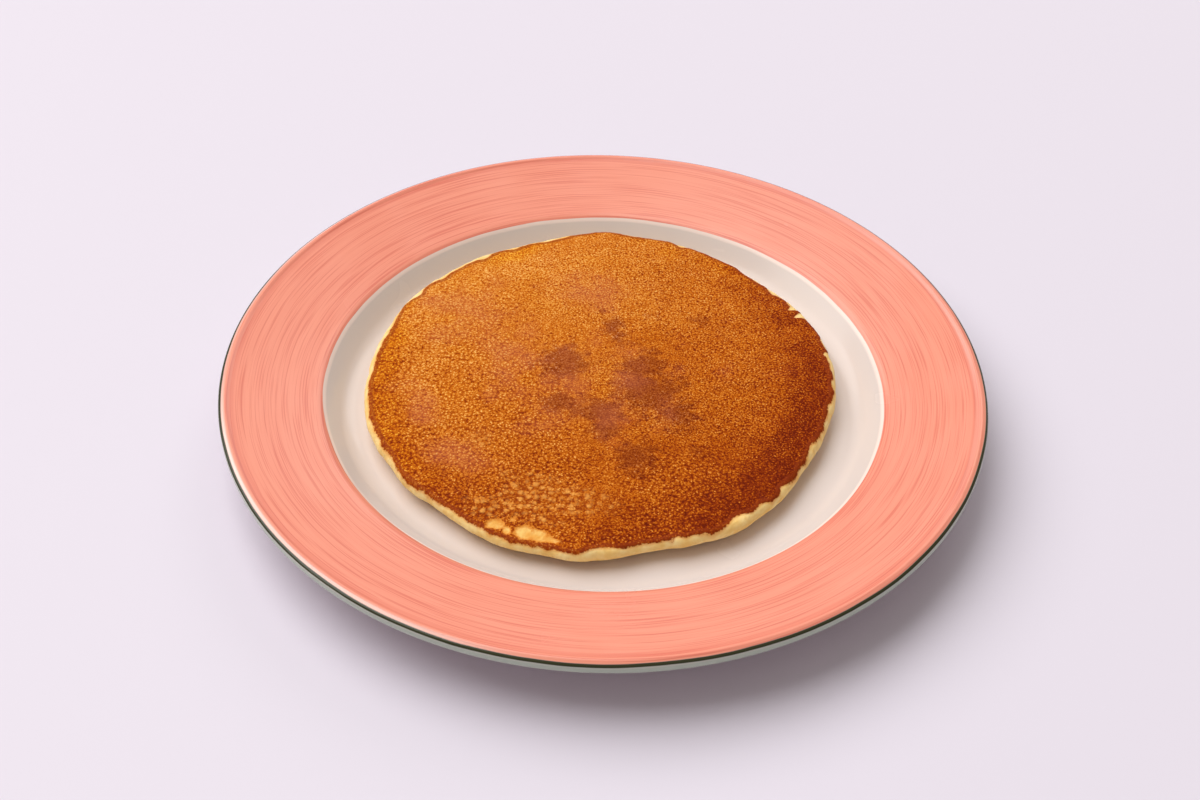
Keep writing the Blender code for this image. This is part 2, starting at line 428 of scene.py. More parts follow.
class Finish:
    """One material. Each method adds a node and returns its output, which can feed the next."""

    def __init__(self, name):
        self.material = bpy.data.materials.new(name)
        self.material.use_nodes = True
        self.tree = self.material.node_tree
        self.shader = self.tree.nodes["Principled BSDF"]
        self.place = self.add("ShaderNodeTexCoord", {}, "Object")

    def add(self, kind, inputs, output=0, **settings):
        """A node of this kind. Its inputs are numbers, colours or other nodes' outputs."""
        node = self.tree.nodes.new(kind)
        for key, value in settings.items():
            setattr(node, key, value)
        for key, value in inputs.items():
            self.feed(node.inputs[key], value)
        return node.outputs[output]

    def feed(self, socket, value):
        """Links an output to a socket, or writes a value on it."""
        if isinstance(value, bpy.types.NodeSocket):
            self.tree.links.new(value, socket)
        else:
            socket.default_value = value

    def calc(self, operation, first, second=0.0):
        """One sum with one or two numbers."""
        return self.add("ShaderNodeMath", {0: first, 1: second}, operation=operation)

    def plus(self, first, second):
        """Their sum."""
        return self.calc("ADD", first, second)

    def minus(self, first, second):
        """Their difference."""
        return self.calc("SUBTRACT", first, second)

    def times(self, first, second):
        """Their product."""
        return self.calc("MULTIPLY", first, second)

    def mark(self, name):
        """A number stored beside each point of the mesh."""
        return self.add("ShaderNodeAttribute", {}, "Fac", attribute_name=name)

    def plan(self):
        """The place's x and y."""
        return [self.add("ShaderNodeSeparateXYZ", {0: self.place}, axis) for axis in range(2)]

    def ease(self, low, high, value, start=0.0, end=1.0):
        """start below low, end above high, and a smooth change between."""
        inputs = {"Value": value, "From Min": low, "From Max": high, "To Min": start, "To Max": end}
        return self.add("ShaderNodeMapRange", inputs, interpolation_type="SMOOTHSTEP")

    def window(self, value, low, high, soft):
        """1 where the value lies between low and high, 0 outside, with edges this soft."""
        rises = self.ease(low - soft, low + soft, value)
        falls = self.ease(high - soft, high + soft, value, 1.0, 0.0)
        return self.times(rises, falls)

    def swing(self, noise, amount):
        """Noise from 0 to 1, made to swing this far to either side of zero."""
        return self.times(self.minus(noise, 0.5), 2 * amount)

    def cloud(self, size, detail=2.0, place=None, warp=0.0):
        """Smooth noise from 0 to 1 whose lumps have this size."""
        inputs = {"Vector": place or self.place, "Scale": 1 / size, "Detail": detail, "Distortion": warp}
        return self.add("ShaderNodeTexNoise", inputs)

    def cells(self, size, place, output="Distance"):
        """Distance to the nearest of many points scattered over the plan, this far apart."""
        inputs = {"Vector": place, "Scale": 1 / size}
        return self.add("ShaderNodeTexVoronoi", inputs, output, voronoi_dimensions="2D")

    def mix(self, share, first, second, blend="MIX"):
        """Two colours mixed by share."""
        inputs = {0: share, 6: first, 7: second}
        return self.add("ShaderNodeMix", inputs, 2, data_type="RGBA", blend_type=blend)

    def ramp(self, value, stops):
        """A colour read from stops of (place, colour)."""
        node = self.tree.nodes.new("ShaderNodeValToRGB")
        self.feed(node.inputs[0], value)
        places = node.color_ramp.elements
        while len(places) < len(stops):
            places.new(1.0)
        for element, (position, colour) in zip(places, stops):
            element.position = position
            element.color = colour
        return node.outputs[0]

    def bump(self, height, depth, below=None):
        """A bump whose full height is depth metres, on top of another bump."""
        inputs = {"Height": height, "Distance": depth}
        if below:
            inputs["Normal"] = below
        return self.add("ShaderNodeBump", inputs)

    def finish(self, **sockets):
        """Feeds the shader. An underscore in a name stands for a space."""
        for name, value in sockets.items():
            self.feed(self.shader.inputs[name.replace("_", " ")], value)
        return self.material


# %% [markdown]
# ## The glaze
#
# One clear, glossy glaze covers a warm white body. Under it lies a pink band, laid on with a wide brush
# while the plate spun. The bristles leave thin dark strokes that fade in and out and drift
# slightly, so the pattern is noise that changes fast along the radius and slowly round the plate. A brush
# never runs quite true, so the band starts a little further in on one side. Colour gathers in the lip's
# crease and at the band's start, and this deeper pink also paints the shade that falls there. On the
# shoulder of the well the colour breaks pale where it runs thin, and the same pale ring is a painted
# highlight. Parts of the lip get a painted highlight in pale pink, only towards a few directions. A dark
# green line closes the edge. The foot's standing face is bare, because glaze would stick to the kiln.

# %% Where the painter's lines lie
BAND_STARTS = 99.9 * MM  # radius
LINE_ABOVE_WIDEST = 1.65  # millimetres along the section, above its widest place
LINE_STOPS_ABOVE = 0.45


def along_at(radius, under=False):
    """How many millimetres along the section it has this radius, above or under."""
    widest = int((section[:, 0] > PLATE_RADIUS - 0.01 * MM).argmax())
    if under:
        return float(np.interp(-radius, -section[widest:, 0], section_along[widest:])) / MM
    return float(np.interp(radius, section[:widest + 1, 0], section_along[:widest + 1])) / MM


band_from = along_at(BAND_STARTS)
crease_at = along_at(PLATE_RADIUS - LIP_WIDTH)
crest_at = along_at(PLATE_RADIUS - CREST_FROM_EDGE)
line_from = along_at(PLATE_RADIUS) - LINE_ABOVE_WIDEST
line_to = along_at(PLATE_RADIUS) - LINE_STOPS_ABOVE
foot_from = along_at(FOOT_OUTER_RADIUS - FOOT_DRAFT, under=True)
foot_to = along_at(FOOT_OUTER_RADIUS - FOOT_WIDTH + FOOT_DRAFT, under=True)
print("band from", round(band_from, 1), "mm along, line from", round(line_from, 1))

# %% Rings of colour
# The pale ring on the well's shoulder is partly thin glaze and partly a painted highlight.
FADED_AND_HIGHLIGHT_RING = (band_from - 1.4, band_from + 0.1, 0.5)  # from, to and softness in millimetres along
LINE_RING = (line_from, line_to, 0.18)
TINTED_RING = (line_to, line_to + 3.5, 0.8)
FOOT_RING = (foot_from, foot_to, 0.15)
# Deeper pink at the lip's crease and at the band's start: glaze pooling, and painted shade that falls in
# the crease and on the shoulder.
POOLS_AND_SHADE = ((crease_at - 1.4, crease_at + 1.0, 0.5, 0.35), (band_from, band_from + 0.9, 0.3, 0.30))
BAND_SOFT = 0.15
# Softness of the painted highlights on the lip, in millimetres along.
HIGHLIGHT_SOFT = 0.25
WANDER_SIZE = 25 * MM  # lines and rings stray over this distance
WANDER = 0.35  # millimetres to either side
BAND_EARLY = (248, 0.42, 1.0)  # direction in degrees, cosine of the half angle, millimetres further in
# Painted highlights on the lip, in pale pink, only towards a few directions.
LIP_HIGHLIGHTS = (  # direction, cosine of the half angle, from and to in millimetres along, share
    (222, 0.86, line_from - 1.1, line_from, 0.62),
    (172, 0.78, line_from - 0.9, line_from, 0.30),
    (8, 0.74, crease_at - 0.6, crest_at - 0.4, 0.10),
)
SIDE_SOFT = 0.12  # softness of a side, as a cosine

# %% Glaze colours
WARM_WHITE = shade(226, 213, 208)
PINK_THICK = shade(222, 112, 94)
PINK_THIN = shade(248, 157, 133)
# Pale pink of thin glaze, which also serves as painted highlight on the shoulder and on the lip.
FADED_PINK_AND_HIGHLIGHT = shade(252, 232, 224)
GREEN_LINE = shade(52, 54, 30)
GREENISH = shade(186, 194, 180)
BARE_CLAY = shade(214, 198, 176)

# %% Brush strokes
STROKES = (  # width, length, the noise at which a stroke starts to show and is full, its share
    (0.48 * MM, 45 * MM, 0.48, 0.68, 0.60),
    (1.4 * MM, 90 * MM, 0.35, 0.65, 0.10),
)
STRAYS = ((90 * MM, 0.9 * MM), (9 * MM, 0.3 * MM))  # over what length, and how far


def strokes(glaze, bristle, length):
    """Noise from 0 to 1 that runs fast along the radius and slowly round the plate.

    It is read at the place (radius / bristle, turns * cos a, turns * sin a), where turns makes one lump
    this length at the band. Two drifts are added to the radius, so that the strokes stray and tremble.
    """
    x, y = glaze.plan()
    squares = glaze.plus(glaze.times(x, x), glaze.times(y, y))
    radius = glaze.calc("SQRT", squares)
    slow, quick = (glaze.times(glaze.cloud(size, 1.0), far) for size, far in STRAYS)
    across = glaze.calc("DIVIDE", glaze.plus(radius, glaze.plus(slow, quick)), bristle)
    turns = PLATE_RADIUS / length
    cosine = glaze.times(glaze.calc("DIVIDE", x, radius), turns)
    sine = glaze.times(glaze.calc("DIVIDE", y, radius), turns)
    return glaze.cloud(1.0, 1.0, glaze.add("ShaderNodeCombineXYZ", {0: across, 1: cosine, 2: sine}))


# %% Where the band is early or carries painted highlights


def towards(glaze, direction, half_angle, most):
    """0 on most of the plate, rising to most near one direction. half_angle is a cosine.

    It eases x cos d + y sin d, as a share of the plate's radius, which is the cosine of the angle between
    a place on the rim and the direction d.
    """
    x, y = glaze.plan()
    east = glaze.times(x, math.cos(math.radians(direction)) / PLATE_RADIUS)
    north = glaze.times(y, math.sin(math.radians(direction)) / PLATE_RADIUS)
    cosine = glaze.plus(east, north)
    return glaze.ease(half_angle - SIDE_SOFT, half_angle + SIDE_SOFT, cosine, end=most)


def lip_highlight(glaze, along):
    """How much painted highlight lightens the lip's pink: a window along the section, times one round the
    plate.
    """
    total = 0.0
    for direction, half_angle, start, end, share in LIP_HIGHLIGHTS:
        near = towards(glaze, direction, half_angle, share)
        ring = glaze.window(along, start, end, HIGHLIGHT_SOFT)
        total = glaze.plus(total, glaze.times(near, ring))
    return total


# %% Brushed pink


def brushed_pink(glaze, along):
    """The band's pink, deeper in its strokes, deeper at the crease and where it starts (pooling and
    painted shade), with painted highlights on the lip, and its thickness.
    """
    layers = [glaze.ease(low, high, strokes(glaze, width, length), end=share)
              for width, length, low, high, share in STROKES]
    thickness = glaze.plus(*layers)
    pooled_and_shaded = [glaze.times(glaze.window(along, *ring), share) for *ring, share in POOLS_AND_SHADE]
    pink = glaze.mix(thickness, PINK_THIN, PINK_THICK)
    # Pooling and painted shade at the crease and where the band starts.
    pink = glaze.mix(glaze.plus(*pooled_and_shaded), pink, PINK_THICK)
    # Painted highlights on the lip pale the pink towards a few directions.
    return glaze.mix(lip_highlight(glaze, along), pink, FADED_PINK_AND_HIGHLIGHT), thickness


# %% Glaze
WIPE_SIZE = 30 * MM  # patches of different gloss
GLAZE_ROUGHNESS = (0.16, 0.28)
BARE_ROUGHNESS = 0.85
PEEL_SIZE = 3.5 * MM  # the faint ripple of a fired glaze
PEEL_DEPTH = 0.012 * MM
STROKE_DEPTH = 0.006 * MM


def glaze_material():
    """Warm white body, brushed pink band, green edge line and bare foot, under one glossy glaze."""
    glaze = Finish("banded_glaze")
    along = glaze.mark("along")
    pink, thickness = brushed_pink(glaze, along)
    wandering = glaze.plus(along, glaze.swing(glaze.cloud(WANDER_SIZE), WANDER))
    early = glaze.plus(wandering, towards(glaze, *BAND_EARLY))
    starts = glaze.ease(band_from - BAND_SOFT, band_from + BAND_SOFT, early)
    ends = glaze.ease(line_from - BAND_SOFT, line_from + BAND_SOFT, wandering, 1.0, 0.0)
    banded = glaze.times(starts, ends)
    bare = glaze.window(along, *FOOT_RING)
    # Pale ring on the shoulder: thin glaze and a painted highlight.
    colour = glaze.mix(glaze.window(early, *FADED_AND_HIGHLIGHT_RING), WARM_WHITE, FADED_PINK_AND_HIGHLIGHT)
    colour = glaze.mix(banded, colour, pink)
    colour = glaze.mix(glaze.window(along, *TINTED_RING), colour, GREENISH)
    colour = glaze.mix(glaze.window(wandering, *LINE_RING), colour, GREEN_LINE)
    colour = glaze.mix(bare, colour, BARE_CLAY)
    wiped = glaze.cloud(WIPE_SIZE, 3.0, warp=0.6)
    gloss = glaze.ease(0.35, 0.75, wiped, *GLAZE_ROUGHNESS)
    roughness = glaze.calc("MAXIMUM", gloss, glaze.times(bare, BARE_ROUGHNESS))
    peel = glaze.bump(glaze.cloud(PEEL_SIZE, 1.0), PEEL_DEPTH)
    relief = glaze.bump(glaze.times(thickness, banded), STROKE_DEPTH, peel)
    return glaze.finish(Base_Color=colour, Roughness=roughness, Normal=relief, Specular_IOR_Level=0.4)


plate.data.materials.append(glaze_material())
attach(plate, "root")
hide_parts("plate")

# %% [markdown]
# ## The pancake's outline
#
# Batter poured from one point spreads to nearly a circle, and then stops early where the griddle is
# cooler. So the outline is an ellipse plus a few lobes, each a smooth bulge or dent at one direction, and
# a small uneven drift on top.

# %% Outline
MIDDLE = np.array([-1.0, 4.0]) * MM
HALF_WIDTH = 84.2 * MM
HALF_LENGTH = 86.0 * MM
LOBES = (  # direction in degrees, millimetres that the edge is moved out, half width in degrees
    (3, 0.3, 8), (14, 0.1, 13), (43, -1.9, 13), (63, -0.8, 7), (91, 1.6, 9), (113, -1.3, 11),
    (135, -0.5, 12), (165, -0.6, 11), (208, 1.1, 18), (222, 0.6, 5), (252, 2.6, 11), (267, 1.1, 6),
    (284, -1.5, 7.5), (303, 0.9, 6), (316, 0.5, 6), (329, -1.7, 13), (345, -0.7, 9),
)
EDGE_DRIFTS = ((0.42 * MM, 9 * MM, 3), (0.21 * MM, 3.5 * MM, 4))


def lobes_at(angle, lobes):
    """The sum of the lobes' bell curves in each direction."""
    total = np.zeros_like(angle)
    for direction, moved, half_width in lobes:
        off = (np.degrees(angle) - direction + 180) % 360 - 180
        total += moved * np.exp(-((off / half_width) ** 2))
    return total


def outline(angle):
    """How far the edge lies from the pancake's middle: an ellipse, lobes and a small drift."""
    ellipse = HALF_WIDTH * HALF_LENGTH / np.hypot(HALF_LENGTH * np.cos(angle), HALF_WIDTH * np.sin(angle))
    on_edge = np.stack([np.cos(angle), np.sin(angle), np.zeros_like(angle)], axis=-1) * HALF_WIDTH
    return ellipse + lobes_at(angle, LOBES) * MM + layered(on_edge, EDGE_DRIFTS)


spread = outline(np.radians(np.arange(360.0)))
print("outline reaches", round(spread.min() / MM, 1), "to", round(spread.max() / MM, 1), "mm")

# %% [markdown]
# ## The pancake's body
#
# The face that is up now lay on the griddle first, so it is the widest: below it the side draws in, and
# the underside curls up off the plate. All of it follows from one place on the surface: a direction, and
# a path that runs from 0 at the top's middle to 1 where the side starts to turn down, to 2 where it meets
# the underside and to 3 at the bottom's middle.

# %% Body
REST_GAP = 0.3 * MM
MIDDLE_HEIGHT = 9.5 * MM
EDGE_HEIGHT = 7.8 * MM
TOP_ROUNDING = 2.6 * MM
UNDERCUT = 6.5 * MM
EDGE_LIFT = 1.4 * MM
LIFT_BEGINS = 0.78
WIDEST_AT = 0.62
TOP_WAVES = ((2, 0.30 * MM, 40), (3, 0.22 * MM, 160), (5, 0.15 * MM, 75))  # count, height, phase
EDGE_RISES = ((3, 1.4, 24),)  # where the edge puffed up: direction, millimetres, half width


def edge_lift(share):
    """How far the underside curls up: nothing, and then a parabola over the last stretch."""
    return EDGE_LIFT * np.clip((share - LIFT_BEGINS) / (1 - LIFT_BEGINS), 0, None) ** 2


def top_height(share, angle):
    """The dome 1 - share^2 on the edge's height, with waves that grow outwards."""
    dome = EDGE_HEIGHT + (MIDDLE_HEIGHT - EDGE_HEIGHT) * (1 - share**2)
    waves = sum(high * np.sin(count * angle + math.radians(phase)) for count, high, phase in TOP_WAVES)
    return dome + (waves + lobes_at(angle, EDGE_RISES) * MM) * share**2


def body_points(angle, path):
    """Points on the plain body, for arrays of directions and of paths from 0 to 3.

    The side is two quarter ellipses that meet at the widest line: a short one above, a long one below.
    """
    reach = outline(angle)
    shoulder = 1 - TOP_ROUNDING / reach
    top = top_height(shoulder, angle)
    widest = EDGE_LIFT + WIDEST_AT * (top - EDGE_LIFT)
    tilt = math.pi / 2 - math.pi * np.clip(path - 1, 0, 1)
    drawn_in = np.where(tilt > 0, TOP_ROUNDING, UNDERCUT)
    tall = np.where(tilt > 0, top - widest, widest - EDGE_LIFT)
    side_radius = reach - drawn_in * (1 - np.cos(tilt))
    side_height = widest + tall * np.sin(tilt)
    out = np.clip(path, 0, 1) * shoulder
    inward = 3 - np.clip(path, 2, 3)
    under_radius = inward * (reach - UNDERCUT)
    radius = np.where(path < 1, out * reach, np.where(path > 2, under_radius, side_radius))
    below = np.where(path > 2, edge_lift(inward), side_height)
    height = np.where(path < 1, top_height(out, angle), below)
    x = MIDDLE[0] + radius * np.cos(angle)
    y = MIDDLE[1] + radius * np.sin(angle)
    return np.stack([x, y, FLOOR_TOP + REST_GAP + height], axis=-1)


# %% [markdown]
# ## A grid for a round top
#
# Rings that shrink to a point would crowd the middle with slivers. A square grid pressed into a disc
# stays even: in each quarter the larger of the two grid coordinates becomes the path, and their ratio
# becomes the direction. Its border is a ring, and the side and the underside carry on from there.

# %% Grid
GRID = 256  # squares along one side
SIDE_RINGS = 15
UNDER_RINGS = 8


def disc_grid():
    """Directions and paths of a square grid pressed into a disc."""
    line = np.linspace(-1, 1, GRID + 1)
    across, along = (part.ravel() for part in np.meshgrid(line, line, indexing="ij"))
    flat = np.abs(across) >= np.abs(along)
    path = np.where(flat, across, along)
    other = np.where(flat, along, across)
    ratio = np.divide(other, path, out=np.zeros_like(path), where=path != 0)
    angle = np.where(flat, math.pi / 4 * ratio, math.pi / 2 - math.pi / 4 * ratio)
    return np.where(path < 0, angle + math.pi, angle), np.abs(path)


def border_ring():
    """The numbers of the grid's border points, in order of direction."""
    number = np.arange((GRID + 1) ** 2).reshape(GRID + 1, GRID + 1)
    return np.concatenate([number[GRID, :-1], number[:0:-1, GRID], number[0, :0:-1], number[:-1, 0]])


def pancake_net():
    """Directions, paths and faces of the whole pancake: grid, side, underside and a last point."""
    angle, path = disc_grid()
    number = np.arange(len(angle)).reshape(GRID + 1, GRID + 1)
    top = np.stack([number[:-1, :-1], number[1:, :-1], number[1:, 1:], number[:-1, 1:]], axis=2)
    faces = list(top.reshape(-1, 4))
    ring = border_ring()
    side = 1 + np.arange(1, SIDE_RINGS + 1) / SIDE_RINGS
    under = 2 + np.arange(1, UNDER_RINGS) / UNDER_RINGS
    below = np.r_[side, under]
    angle = np.r_[angle, np.tile(angle[ring], len(below)), 0.0]
    path = np.r_[path, np.repeat(below, len(ring)), 3.0]
    first = (GRID + 1) ** 2
    rings = [ring] + [first + len(ring) * step + np.arange(len(ring)) for step in range(len(below))]
    for upper, lower in zip(rings, rings[1:]):
        faces += list(band_of_faces(upper, lower))
    faces += list(cap_of_faces(len(angle) - 1, rings[-1][::-1]))
    return angle, path, faces


angle, path, pancake_faces = pancake_net()
body = body_points(angle, path)
print("pancake net with", len(body), "points and", len(pancake_faces), "faces")

# %% [markdown]
# ## What baking did to the surface
#
# The face that lay on the griddle is brown to a ragged line just inside the edge. Beyond it the dough
# never touched the metal and stays pale. On one side the batter ran out late and left a wider pale strip.
# Near the front the griddle was a little cooler: bubbles stayed open with pale rims, and two slivers of
# bare dough show inside the border. In the middle, fat collected and the crust is darker and duller.
#
# Each of these is a number at every point, which shapes the relief and colours it.

# %% Where the crust ends
CRUST_INSET = 1.15 * MM
CRUST_RETREATS = (  # direction, millimetres that the crust ends further in, half width in degrees
    (4, 0.7, 5), (9.2, 1.2, 0.9), (13, 0.7, 8), (26.3, 3.2, 0.9), (29.7, 2.6, 0.8), (31.4, 1.4, 1.5),
    (38, 1.3, 3.4), (44.5, 0.7, 2), (58, 0.5, 6), (69, 1.9, 1.6), (82, 0.5, 3), (106, 1.2, 9),
    (116, 1.2, 2.2), (125, 2.0, 2.6), (131, 0.7, 10), (138, 1.3, 3), (148, 1.9, 2.5), (165, 1.1, 11),
    (182, 0.9, 9), (204, 0.4, 4), (236, 0.4, 3), (272, 0.9, 4), (288.5, 0.6, 0.8), (304, 2.4, 2.8),
    (310.5, 1.1, 1.7), (319, 0.8, 1.4), (334.5, 0.6, 3), (350, 0.9, 2.2),
)
CRUST_TONGUES = (  # the same, where the crust reaches further out
    (11.2, 1.8, 0.9), (19.5, 1.3, 3.4), (28.0, 1.0, 0.8), (34.3, 0.6, 0.9), (41.5, 0.5, 1.2),
    (55, 0.6, 6), (66.5, 0.9, 1.4), (76, 0.5, 2.5), (91, 0.8, 3), (110, 0.4, 3), (155, 0.6, 3),
    (184, 0.5, 4), (220, 0.2, 4), (229, 0.5, 4), (264.5, 0.7, 2.5), (297, 0.8, 1.5), (315.5, 0.8, 1.5),
    (324, 0.4, 1.5), (329.5, 0.6, 1.2),
)
SCALLOPS = ((0.40, 6 * MM, 11), (0.50, 2.4 * MM, 12))  # strength in millimetres
WIDEST_PATH = 1.5
DOWN_THE_SIDE = 2 * MM  # per step of the path


def crust_edge(points, angle, path):
    """How far inside the crust's edge each point is, in metres, negative beyond it.

    It is the distance in from the outline, less the inset and the retreats, plus the tongues and drifts
    that scallop the edge. Below the widest ring it only falls.
    """
    radius = np.hypot(points[:, 0] - MIDDLE[0], points[:, 1] - MIDDLE[1])
    inset = outline(angle) - radius
    inset = np.where(path > WIDEST_PATH, -inset - DOWN_THE_SIDE * (path - WIDEST_PATH), inset)
    moved = lobes_at(angle, CRUST_TONGUES) - lobes_at(angle, CRUST_RETREATS) + layered(points, SCALLOPS)
    return inset - CRUST_INSET + moved * MM


from_edge = crust_edge(body, angle, path)
print("crust covers", round(100 * float((from_edge > 0).mean())), "% of the points")

# %% [markdown]
# The browning is as uneven as the griddle was. Each kind of patch is a list of soft ellipses, in
# millimetres from the pancake's middle, and each band along the edge is a list of directions.

# %% Patches
SCORCHES = (  # x, y, half width and half length in millimetres, turn in degrees, strength
    (-14, 5, 11, 10, 10, 1.0), (5, 24, 4.8, 12, 15, 0.8), (17, 32, 5, 4, 0, 0.6),
    (36, 31, 5, 4, 0, 0.5), (15, 4, 10, 11, 0, 0.8), (17, -11, 16, 13, 0, 0.95),
    (27, -22, 9, 8, 0, 0.8), (-1, -20, 14, 8, 0, 0.85), (-14, -17, 8, 7, 0, 0.8),
    (1, -30, 7, 7, 0, 0.8), (13, -44, 8, 9, 0, 1.0), (33, -40, 5, 4, 0, 0.6),
)
ROSY_PLACES = (
    (-52, 32, 18, 26, 20, 0.7), (-34, 8, 14, 26, 0, 0.7), (-62, -20, 8, 12, 10, 0.9),
    (-50, -44, 10, 9, -20, 0.8), (-8, 48, 22, 16, 0, 0.6), (0, -8, 34, 30, 0, 0.6),
)
COOL_PLACES = (
    (-21, -58, 11, 7, 0, 0.85), (-8, -64, 14, 7, -8, 1.0), (-27, -66, 10, 7, 0, 0.9),
    (-17, -73, 8, 4, 0, 0.8), (-38, -68, 8, 6, -20, 0.7), (-41, -36, 5, 4.5, 20, 0.8),
    (-27, -54, 10, 6, 0, 0.5),
)
BARE_PATCHES = (
    (-33.2, -75.5, 3.5, 2.4, -12, 1.0), (-29.4, -78.2, 1.6, 2.2, 0, 0.85),
    (-23.2, -78.8, 4.2, 3.0, -25, 1.0), (-19.1, -80.1, 4.4, 2.7, -27, 1.0),
    (-14.9, -81.4, 3.7, 1.6, -25, 0.95), (-27.6, -72.6, 2.4, 3.0, 0, 0.42),
)
EDGE_BURNS = (  # direction, strength, half width in degrees
    (338, 1.0, 26), (302, 0.6, 14), (281, 0.45, 10), (8, 0.55, 14), (30, 0.55, 12), (50, 0.3, 10),
    (236, 0.35, 14), (186, 0.45, 30),
)
EDGE_GOLD = ((176, 1.0, 24), (212, 0.9, 18), (112, 0.7, 14), (58, 0.6, 18))
BURN_WIDTH = 23  # millimetres in from the edge
GOLD_WIDTH = 14


def patches(x, y, spots):
    """The strongest of several soft ellipses: exp(-(distance in half widths)^2) times its strength."""
    strongest = np.zeros_like(x)
    for centre_x, centre_y, half_width, half_length, turn, strength in spots:
        cosine, sine = math.cos(math.radians(turn)), math.sin(math.radians(turn))
        off_x, off_y = x - centre_x * MM, y - centre_y * MM
        along = (off_x * cosine + off_y * sine) / (half_width * MM)
        across = (off_y * cosine - off_x * sine) / (half_length * MM)
        strongest = np.maximum(strongest, strength * np.exp(-(along**2 + across**2)))
    return strongest


def along_edge(angle, from_edge, stretches, width):
    """Bell curves round the edge, which fade out over this width in millimetres towards the middle."""
    strength = np.clip(lobes_at(angle, stretches), 0, 1)
    return strength * ease(width, 0.2 * width, from_edge / MM)


# %% [markdown]
# Patches and bands become numbers beside each point: how far browned it is, with painted shade and sheen
# in a slope across the crust, how scorched, how golden, and how cool its place was.

# %% Marks for relief and colour
BLOTCHES = ((0.6, 7 * MM, 21), (0.4, 3 * MM, 22))
BARE_FRAYS = ((0.18, 2.4 * MM, 23), (0.14, 1.3 * MM, 25))
SLOW_SIZE = 22 * MM
TONE_LEVEL = 0.455
BROWNING_AND_SHADE_SLOPE = 0.125  # darker to the front right: partly browning where the griddle was hotter, partly painted shade and sheen
TONE_BY_BURN = 0.27
TONE_BY_BLOTCH = 0.06
TONE_BY_DRIFT = 0.03


def baking_marks(points, angle, path, from_edge):
    """The named numbers that shape and colour the crust, one of each for every point."""
    x, y = points[:, 0] - MIDDLE[0], points[:, 1] - MIDDLE[1]
    blotch = layered(points, BLOTCHES)
    slow = drift(points, SLOW_SIZE, 24)
    burn = along_edge(angle, from_edge, EDGE_BURNS, BURN_WIDTH) * (0.85 + 0.45 * blotch)
    gold = along_edge(angle, from_edge, EDGE_GOLD, GOLD_WIDTH) * (0.85 + 0.5 * blotch)
    # The slope across the crust is partly browning and partly painted shade and sheen, lighter to the back
    # left.
    tone = TONE_LEVEL + BROWNING_AND_SHADE_SLOPE * (x - y) / HALF_WIDTH + TONE_BY_BURN * burn
    return {
        "edge": from_edge / MM,
        "tone": tone + TONE_BY_BLOTCH * blotch + TONE_BY_DRIFT * slow,
        "scorch": patches(x, y, SCORCHES) + 0.24 * blotch,
        "rosy": patches(x, y, ROSY_PLACES) + 0.25 * blotch,
        "gold": gold,
        "cool": patches(x, y, COOL_PLACES) * (1 + 0.5 * blotch),
        "bare": patches(x, y, BARE_PATCHES) + layered(points, BARE_FRAYS),
        "coarse": ease(-0.5, 0.5, 0.6 * slow - 0.012 * (x + 0.6 * y) / MM),
        "under": ease(1.7, 2.05, path),
    }


marks = baking_marks(body, angle, path, from_edge)
print({name: (round(float(v.min()), 2), round(float(v.max()), 2)) for name, v in marks.items()})

# %% [markdown]
# ## Relief
#
# The plain body first becomes a mesh, which gives each point its normal. Every point is then pushed along
# it: slow unevenness, a crust that stands a little proud of the dough, a fine grain of burst bubbles,
# coarser lumps in the cool places, wrinkles along the burnt edge, and slightly sunken bare patches. A
# wrinkle is a drift that is stretched along the edge.

# %% Relief
CRUST_STANDS = 0.28  # heights and depths in millimetres
BARE_SINKS = 0.28
PORE_SIZE = 1.5 * MM
PORE_DEPTH = 0.06
WRINKLE_WIDTH = 1.1
WRINKLE_TURNS = 16  # a wrinkle is about a sixteenth of the radius long
WRINKLE_HEIGHT = 0.14
SLOW_RELIEF = ((0.22, 16 * MM, 31), (0.12, 7 * MM, 32))


def relief_of(points, angle, path, marks):
    """How far each point is pushed out, in metres."""
    on_crust = ease(-0.3, 0.5, marks["edge"])
    fine = PORE_DEPTH * (0.5 - bubbles(points, PORE_SIZE, 33)) + 0.05 * drift(points, 1.2 * MM, 34)
    turns = WRINKLE_TURNS * np.stack([np.cos(angle), np.sin(angle)])
    run = np.stack([marks["edge"] / WRINKLE_WIDTH, *turns], axis=1)
    burnt = ease(7, 1, marks["edge"]) * ease(0.5, 0.8, marks["tone"])
    wrinkle = WRINKLE_HEIGHT * drift(run, 1, 37) * burnt
    dome = 0.16 * drift(points, 2.2 * MM, 35) * np.clip(marks["cool"], 0, 1)
    bare = -BARE_SINKS * ease(0.3, 0.6, marks["bare"])
    crust = on_crust * (CRUST_STANDS + fine + wrinkle + dome + bare)
    dough = (1 - on_crust) * 0.10 * drift(points, 2.5 * MM, 36)
    return (layered(points, SLOW_RELIEF) + crust + dough) * ease(2.4, 1.9, path) * MM


def pushed(piece, amount):
    """Moves every point of a piece along its own normal."""
    count = len(piece.data.vertices)
    normal = np.empty(count * 3)
    piece.data.vertex_normals.foreach_get("vector", normal)
    place = np.empty(count * 3)
    piece.data.vertices.foreach_get("co", place)
    moved = place + normal * np.repeat(amount, 3)
    piece.data.vertices.foreach_set("co", moved)
    piece.data.update()


pancake = add_piece("pancake_baked", body, pancake_faces, marks)
pushed(pancake, relief_of(body, angle, path, marks))

# %% [markdown]
# ## Crust and dough
#
# Seen close, the crust is a mass of burst bubbles about a millimetre across. Each has a lighter floor and
# a thin browner wall, so the colour follows the distance to scattered points.
#
# In the cool places wider bubbles stayed open and never touched the metal, so they are pale pebbles in a
# brown net. A second, coarser field gives them. Each of its points has a number of its own, which makes
# one pebble paler than the next.

